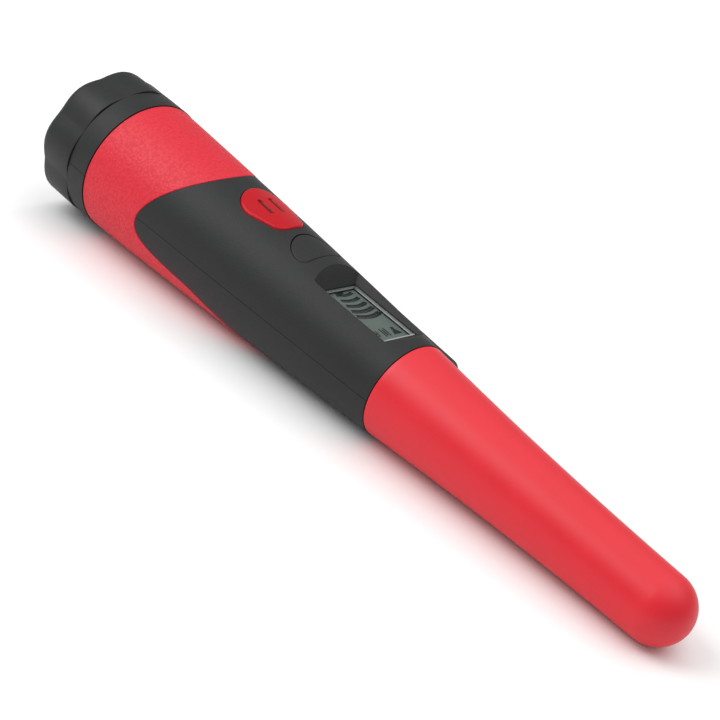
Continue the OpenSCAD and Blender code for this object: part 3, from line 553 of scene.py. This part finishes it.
# %% Nose
NOSE_T, NECK_R, NECK_BORE = 2.2, 12.3, 10.2
RIB_GROOVE, RIB_GROOVE_R = (135.2, 136.4), 11.4          # takes the shells' rib
SEAL_GROOVE, SEAL_GROOVE_R = (136.85, 138.35), 11.15     # takes the O-ring
shoulder = JUNCTION + 0.12
inner_r = TIP_R - NOSE_T
bore = [(TIP_X + inner_r * math.sin(t), inner_r * math.cos(t))
        for t in np.radians(np.linspace(80, 0, 10))]
bore += [(x, min(NECK_BORE, nose_r(x) - NOSE_T)) for x in np.linspace(TIP_X, 140, 40)[1:]]
neck_line = [(133.6, NECK_BORE, 0.3), (133.6, NECK_R, 0.4)]
for (x0, x1), floor_r in ((RIB_GROOVE, RIB_GROOVE_R), (SEAL_GROOVE, SEAL_GROOVE_R)):
    neck_line += [(x0, NECK_R, 0), (x0, floor_r, 0), (x1, floor_r, 0), (x1, NECK_R, 0)]
neck_line += [(shoulder, NECK_R, 0), (shoulder, nose_r(shoulder), 0.25),
              (shoulder + 2, nose_r(shoulder + 2), 0)]
outside = [(x, nose_r(x)) for x in np.linspace(shoulder + 3, TIP_X, 90)]
outside += [(TIP_X + TIP_R * math.sin(t), TIP_R * math.cos(t))
            for t in np.radians(np.linspace(4, 86, 22))]
nose = creases(turned("nose_skin", bore + rounded(neck_line) + outside, satin, 256,
                      ((TIP_X + inner_r, 0, 0), (LENGTH, 0, 0))))
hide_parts("nose_shell")
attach(nose, "housing")
print("nose:", len(nose.data.polygons), "faces")

# %% [markdown]
# ## Keys
# The faces of both keys carry on the handle's curve. The power key is red silicone and stands half a
# millimetre proud: it is wide at the rear, has two rounded front corners, and two bars are sunk in its
# face. The function key is moulded like the shells and flush with them, with a round rear side and a
# straight front. Each could be a cut block, but a moulded key has a rounded rim, so a fine grid follows
# the outline and is pressed to the handle's curve, rim and bars in one skin. The grid also stores how
# deep each point is sunk, which the silicone reads to paint the bars darker: partly their deeper red,
# partly painted shade in the recesses.

# %% Key outlines
POWER_ARCS = ((73.5, 0, 7.8), (81.2, 1.9, 3.9))          # x, y, radius: rear side, front corner
FUNCTION_ARCS = ((95.6, 0, 7.5), (96.2, 5.266, 2.2))
BAR_X, BAR_Y, BAR_HALF, BAR_DEPTH = (71.9, 77.2), 2.0, 0.66, 0.45
BAR_SOFT = 0.3         # width of a bar's sloping edge, mm
KEY_AROUND, KEY_INWARDS = 360, 74  # points round a key, and rings from its rim to its middle


def key_outline(arcs, grow):
    """Evenly spaced points round a rear arc and two front corners, grown outwards."""
    (wide_x, _, wide_r), (corner_x, corner_y, corner_r) = arcs
    dx = corner_x - wide_x
    slant = math.acos(min(1, (wide_r - corner_r) / math.hypot(dx, corner_y)))
    lean = math.atan2(corner_y, dx) + slant
    bends = [(wide_x, 0, wide_r, lean, 2 * math.pi - lean), (corner_x, -corner_y, corner_r, -lean, 0),
             (corner_x, corner_y, corner_r, 0, lean)]
    line = np.array([(x + (r + grow) * math.cos(t), y + (r + grow) * math.sin(t))
                     for x, y, r, a, b in bends for t in np.linspace(a, b, 90)])
    line = np.concatenate([line, line[:1]])
    run = np.concatenate([[0], np.cumsum(np.hypot(*np.diff(line, axis=0).T))])
    even = np.linspace(0, run[-1], KEY_AROUND, endpoint=False)
    return np.stack([np.interp(even, run, line[:, 0]), np.interp(even, run, line[:, 1])], 1)


def sink(x, y):
    """How deep a point of the power key's face is pressed in, from 0 to 1."""
    gap = math.hypot(x - min(max(x, BAR_X[0]), BAR_X[1]), abs(y) - BAR_Y) - BAR_HALF
    t = min(1, max(0, 0.5 - gap / BAR_SOFT))
    return t * t * (3 - 2 * t)


print("power key", round(float(np.ptp(key_outline(POWER_ARCS, 0)[:, 0])), 1), "mm long")

# %% Key skins
def key_skin(name, arcs, base, proud, bend, spine, dent, finish):
    """A key in place of its CAD part, from the height base up.

    Its face stands proud of the handle, its rim has the radius bend, and dent(x, y) is sunk in it.
    spine is the stretch of x along the key's middle line to which the face's rings shrink.
    """
    def face_z(x, y):
        return math.sqrt((handle_r(x) + proud) ** 2 - y * y)

    rings = [[(x, y, z) for x, y in key_outline(arcs, 0)] for z in (base, base + 1)]
    for t in np.radians(np.linspace(0, 90, 8)):
        ring = key_outline(arcs, -bend * (1 - math.cos(t)))
        rings.append([(x, y, face_z(x, y) - bend * (1 - math.sin(t))) for x, y in ring])
    rim = key_outline(arcs, -bend)
    heart = np.stack([np.clip(rim[:, 0], *spine), 0 * rim[:, 1]], 1)
    for share in np.linspace(1, 0.015, KEY_INWARDS)[1:]:
        ring = heart + (rim - heart) * share
        rings.append([(x, y, face_z(x, y) - BAR_DEPTH * dent(x, y)) for x, y in ring])
    made = skin(name, rings, finish)
    work = bmesh.new()
    work.from_mesh(made.data)
    bmesh.ops.remove_doubles(work, verts=work.verts, dist=0.02 * MM)
    bmesh.ops.holes_fill(work, edges=work.edges)
    bmesh.ops.recalc_face_normals(work, faces=work.faces)
    work.to_mesh(made.data)
    work.free()
    # The sunk depth is stored as the mask that paints the bars darker: partly a deeper red, partly painted
    # shade.
    bar_shade_layer = made.data.attributes.new("sunk", "FLOAT", "POINT")
    points = [v.co / MM for v in made.data.vertices]
    bar_shade_layer.data.foreach_set("value", [dent(x, y) if z > base + 1.5 else 0 for x, y, z in points])
    print(name, len(made.data.polygons), "faces")
    return creases(made, 60)


power_key = key_skin("power_key_skin", POWER_ARCS, 12.3, 0.45, 0.6, (73, 81), sink, silicone)
function_key = key_skin("function_key_skin", FUNCTION_ARCS, 10.9, 0.0, 0.45, (94, 95), lambda x, y: 0,
                        finishes["abs_black"])
for key, node, slot in ((power_key, "power_key", "key_red"),
                        (function_key, "function_key", "key_black")):
    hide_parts(node)
    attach(key, node)

# %% [markdown]
# ## Display
# Under the clear plate lies a small liquid-crystal cell. It shows five growing arcs that spread from a
# wedge, which is how strong the signal is, and small signs near the front: a battery, three bars and a
# horn. The plate is clear, with bevelled, sawn edges that catch the light. The arcs repeat by a rule, so
# a geometry node tree makes them, and the small signs are thin prisms cut to their outlines.

# %% Geometry node helper
def make_nodes(name, inputs):
    """A geometry tree with named float inputs, its group input and a geometry output."""
    tree = bpy.data.node_groups.new(name, "GeometryNodeTree")
    for title, value in inputs.items():
        socket = tree.interface.new_socket(title, in_out="INPUT", socket_type="NodeSocketFloat")
        socket.default_value = value
    tree.interface.new_socket("Geometry", in_out="OUTPUT", socket_type="NodeSocketGeometry")
    return tree, add(tree, "NodeGroupInput").outputs


def grow(name, tree, values, finish):
    """Runs a tree with these inputs and keeps the result as a plain mesh object."""
    carrier = bpy.data.objects.new(name + "_carrier", bpy.data.meshes.new(name + "_carrier"))
    bpy.context.scene.collection.objects.link(carrier)
    modifier = carrier.modifiers.new("grow", "NODES")
    modifier.node_group = tree
    for socket in tree.interface.items_tree:
        if socket.in_out == "INPUT" and socket.name in values:
            modifier[socket.identifier] = float(values[socket.name])
    evaluated = carrier.evaluated_get(bpy.context.evaluated_depsgraph_get())
    mesh = bpy.data.meshes.new_from_object(evaluated)
    mesh.name = name
    made = bpy.data.objects.new(name, mesh)
    bpy.context.scene.collection.objects.link(made)
    bpy.data.objects.remove(carrier)
    dress(made, finish)
    return made


def settle(thing, matrix):
    """Puts a grown mesh in its place, in its vertices, with its faces outwards."""
    thing.data.transform(matrix)
    work = bmesh.new()
    work.from_mesh(thing.data)
    bmesh.ops.remove_doubles(work, verts=work.verts, dist=1e-7)
    bmesh.ops.recalc_face_normals(work, faces=work.faces)
    work.to_mesh(thing.data)
    work.free()
    return thing


print("helper ready")

# %% Five arcs
CELL_TOP = 10.96       # height just above the crystal cell, mm
ARC_COUNT, ARC_PACE = 5, 0.0026    # metres from one arc to the next
tree, given = make_nodes("signal_arcs", {"Count": ARC_COUNT, "Spacing": ARC_PACE, "Radius": 0.0064,
                                         "Width": 0.0011, "Growth": 0.125, "Sweep": 0.95})
half_sweep = add(tree, "ShaderNodeMath", {"operation": "MULTIPLY", 1: -0.5}, _0=given["Sweep"])
arc = add(tree, "GeometryNodeCurveArc", {"Resolution": 24}, Radius=given["Radius"],
          Start_Angle=half_sweep.outputs[0], Sweep_Angle=given["Sweep"])
blade = add(tree, "GeometryNodeCurvePrimitiveQuadrilateral", {"Height": 0.00006}, Width=given["Width"])
band = add(tree, "GeometryNodeCurveToMesh", {"Fill Caps": True}, Curve=arc.outputs[0],
           Profile_Curve=blade.outputs[0])
back_off = add(tree, "ShaderNodeMath", {"operation": "MULTIPLY", 1: -1.0}, _0=given["Radius"])
shift = add(tree, "ShaderNodeCombineXYZ", _0=back_off.outputs[0])
centred = add(tree, "GeometryNodeTransform", Geometry=band.outputs[0], Translation=shift.outputs[0])
pace = add(tree, "ShaderNodeCombineXYZ", _0=given["Spacing"])
row = add(tree, "GeometryNodeMeshLine", Count=given["Count"], Offset=pace.outputs[0])
index = add(tree, "GeometryNodeInputIndex")
size = add(tree, "ShaderNodeMath", {"operation": "MULTIPLY_ADD", 2: 1.0}, _0=index.outputs[0],
           _1=given["Growth"])
placed = add(tree, "GeometryNodeInstanceOnPoints", Points=row.outputs[0], Instance=centred.outputs[0],
             Scale=size.outputs[0])
real = add(tree, "GeometryNodeRealizeInstances", Geometry=placed.outputs[0])
painted = add(tree, "GeometryNodeSetMaterial", {"Material": finishes["dark_crystal"]},
              Geometry=real.outputs[0])
add(tree, "NodeGroupOutput", _0=painted.outputs[0])
arcs = grow("signal_arcs", tree, {"Count": ARC_COUNT, "Spacing": ARC_PACE}, finishes["dark_crystal"])
settle(arcs, Matrix.Translation(Vector((109.0, 0.9, CELL_TOP)) * MM))
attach(arcs, "housing")
print("arcs:", len(arcs.data.polygons), "faces, box", [round(c / MM, 1) for c in arcs.dimensions])

# %% Small signs
def prisms(name, outlines, low, high, finish):
    """Thin prisms from outlines of (x, y) points, joined in one mesh."""
    work = bmesh.new()
    for outline in outlines:
        floor = [work.verts.new((x * MM, y * MM, low * MM)) for x, y in outline]
        top = [work.verts.new((x * MM, y * MM, high * MM)) for x, y in outline]
        work.faces.new(floor[::-1])
        work.faces.new(top)
        for i in range(len(outline)):
            j = (i + 1) % len(outline)
            work.faces.new((floor[i], floor[j], top[j], top[i]))
    bmesh.ops.recalc_face_normals(work, faces=work.faces)
    mesh = bpy.data.meshes.new(name)
    work.to_mesh(mesh)
    work.free()
    made = bpy.data.objects.new(name, mesh)
    bpy.context.scene.collection.objects.link(made)
    dress(made, finish)
    return made


def oblong(x0, x1, y0, y1):
    """The four corners of a rectangle."""
    return [(x0, y0), (x1, y0), (x1, y1), (x0, y1)]


SIGN_T = 0.05          # thickness of the crystal marks, mm
wedge = [(106.9, -1.3), (107.6, -1.7), (108.3, -1.3), (108.6, -0.3), (108.3, 0.7), (107.6, 1.3),
         (106.9, 1.0)]
battery = [oblong(125.6, 125.9, -5.2, -3.1), oblong(127.6, 127.9, -5.2, -3.1),
           oblong(125.9, 127.6, -5.2, -4.9), oblong(125.9, 127.6, -3.4, -3.1),
           oblong(126.3, 127.2, -4.6, -3.7)]
bars = [oblong(124.9, 128.5, -1.6, -1.2), oblong(125.6, 128.1, -0.8, -0.4),
        oblong(124.9, 128.5, 0.0, 0.4)]
horn = [(125.2, 2.5), (126.4, 2.5), (128.3, 1.5), (128.3, 4.6), (126.4, 3.6), (125.2, 3.6)]
signs = prisms("display_signs", [wedge, *battery, *bars, horn], CELL_TOP, CELL_TOP + SIGN_T,
               finishes["dark_crystal"])
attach(signs, "housing")
print("signs:", len(signs.data.polygons), "faces")

# %% Cover plate with bevelled edges
BEVEL, BREAK, BROW = 0.45, 0.15, 0.08                    # mm: top bevel, broken lower edge, brow of the bevel
SIDE_SHARE = 0.8       # how wide the side bevels are beside the end bevels
FLAT = 0.98            # a face whose normal is steeper than this is clear, and the rest are sawn
plate_low, plate_high = (np.array(corner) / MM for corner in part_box("lcd_window"))
rings = []
for z, inset in ((plate_low[2], BREAK), (plate_low[2] + BREAK, 0), (plate_high[2] - BEVEL, 0),
                 (plate_high[2] - BROW, BEVEL * 0.8), (plate_high[2], BEVEL)):
    x0, x1 = plate_low[0] + inset, plate_high[0] - inset
    y0, y1 = plate_low[1] + inset * SIDE_SHARE, plate_high[1] - inset * SIDE_SHARE
    rings.append([(x, y, z) for x, y in oblong(x0, x1, y0, y1)])
plate = skin("cover_plate", rings, clear)
work = bmesh.new()
work.from_mesh(plate.data)
bmesh.ops.holes_fill(work, edges=work.edges)
bmesh.ops.recalc_face_normals(work, faces=work.faces)
work.to_mesh(plate.data)
work.free()
plate.data.shade_flat()
plate.data.materials.append(sawn)
for face in plate.data.polygons:
    face.material_index = int(abs(face.normal.z) < FLAT)
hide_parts("lcd_window")
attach(plate, "housing")
print("plate:", [round(c, 1) for c in plate_high - plate_low], "mm")

# %% [markdown]
# ## Coil windings
# Inside the nose, enamelled copper wire is wound turn by turn on a former round a ferrite rod. In the CAD
# each winding is a plain ring. A real one is a close helix, so a node tree sweeps a round wire along a
# spiral. The same tree makes all three windings from their length, radius and number of turns.

# %% Windings
WIRE = 0.55            # mm, drawn thicker than real enamelled wire so that the turns show
tree, given = make_nodes("wound_wire", {"Turns": 30, "Length": 0.02, "Radius": 0.0055, "Wire": 0.000275})
spiral = add(tree, "GeometryNodeCurveSpiral", {"Resolution": 28}, Rotations=given["Turns"],
             Start_Radius=given["Radius"], End_Radius=given["Radius"], Height=given["Length"])
round_wire = add(tree, "GeometryNodeCurvePrimitiveCircle", {"Resolution": 6}, Radius=given["Wire"])
wire = add(tree, "GeometryNodeCurveToMesh", {"Fill Caps": True}, Curve=spiral.outputs[0],
           Profile_Curve=round_wire.outputs[0])
real = add(tree, "GeometryNodeRealizeInstances", Geometry=wire.outputs[0])
painted = add(tree, "GeometryNodeSetMaterial", {"Material": finishes["enamelled_copper"]},
              Geometry=real.outputs[0])
add(tree, "NodeGroupOutput", _0=painted.outputs[0])

BAY, FIRST_BAY = 21.0, 163.05      # mm from one flange to the next, and where the first bay starts
FLANGE = 1.1           # a flange and its clearance, mm
length = BAY - FLANGE - WIRE
along = Matrix.Rotation(math.pi / 2, 4, "Y")
for name, replaced, bays, radius in (("transmit_winding", "transmit_coil", (1,), 5.9),
                                     ("receive_windings", "receive_coils", (0, 2), 5.5)):
    coils = []
    for bay in bays:
        start = FIRST_BAY + BAY * bay + WIRE / 2
        coil = grow(f"{name}_{bay}", tree, {"Turns": length / WIRE, "Length": length * MM,
                                            "Radius": radius * MM, "Wire": WIRE / 2 * MM},
                    finishes["enamelled_copper"])
        coils.append(settle(coil, Matrix.Translation((start * MM, 0, 0)) @ along))
    work = bmesh.new()
    for coil in coils:
        work.from_mesh(coil.data)
    winding = coils[0]
    winding.name = name
    work.to_mesh(winding.data)
    work.free()
    for spare in coils[1:]:
        bpy.data.objects.remove(spare)
    winding.data.shade_smooth()
    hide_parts(replaced)
    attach(winding, "housing")
    print(name, "faces:", len(winding.data.polygons))

# %% [markdown]
# ## Floor and light
# The probe lies on a white paper sweep. Its cap is thicker than its tip, so the sheet leans until it
# touches both. One large soft light from behind the cap, on the key side, draws the long dim highlight
# down the black shells. A second light overhead and a bright room fill the shadows.

# %% Floor
FLOOR_GAP, HALF_FLOOR = 0.05, 3.0  # mm under the cap, and metres from the sheet's middle to its edge
lean = math.atan2(LOBE_R - TIP_R, TIP_X - CAP_L)
touch = Vector((CAP_L * MM, 0, -(LOBE_R + FLOOR_GAP) * MM))
paper, tree, shader, place = new_finish("studio_paper")
fibre = add(tree, "ShaderNodeTexNoise", {"Scale": per_mm(1.5), "Detail": 2}, Vector=place)
relief = add(tree, "ShaderNodeBump", {"Strength": 0.2, "Distance": 0.02 * MM}, Height=fibre.outputs[0])
tree.links.new(relief.outputs[0], shader.inputs["Normal"])
shader.inputs["Base Color"].default_value = linear("#F6F6F6")
shader.inputs["Roughness"].default_value = 0.9
shader.inputs["Specular IOR Level"].default_value = 0.1
sheet_mesh = bpy.data.meshes.new("paper_sweep")
sheet_corners = [(x * HALF_FLOOR, y * HALF_FLOOR, 0) for x, y in ((-1, -1), (1, -1), (1, 1), (-1, 1))]
sheet_mesh.from_pydata(sheet_corners, [], [(0, 1, 2, 3)])
sheet_mesh.transform(Matrix.Translation(touch) @ Matrix.Rotation(-lean, 4, "Y"))
sheet = bpy.data.objects.new("paper_sweep", sheet_mesh)
bpy.context.scene.collection.objects.link(sheet)
dress(sheet, paper)
print("floor leans", round(math.degrees(lean), 1), "degrees")

# %% Lights
middle = (cad_box[0] + cad_box[1]) / 2


def softbox(name, direction, distance, width, watts):
    """A square area light, width metres wide, that faces the probe's middle from a distance in metres."""
    data = bpy.data.lights.new(name, "AREA")
    data.size, data.energy = width, watts
    lamp = bpy.data.objects.new(name, data)
    bpy.context.scene.collection.objects.link(lamp)
    toward = Vector(direction).normalized()
    lamp.location = middle + toward * distance
    lamp.rotation_euler = toward.to_track_quat("Z", "Y").to_euler()


softbox("key_softbox", (-0.55, -0.48, 0.69), 1.1, 0.7, 7)
softbox("overhead_softbox", (0.1, 0.25, 1.0), 1.4, 1.8, 13)
world = bpy.data.worlds.new("bright_room")
bpy.context.scene.world = world
world.use_nodes = True
world.node_tree.nodes["Background"].inputs["Color"].default_value = linear("#FFFFFF")
world.node_tree.nodes["Background"].inputs["Strength"].default_value = 0.48
print("two softboxes and a bright room")
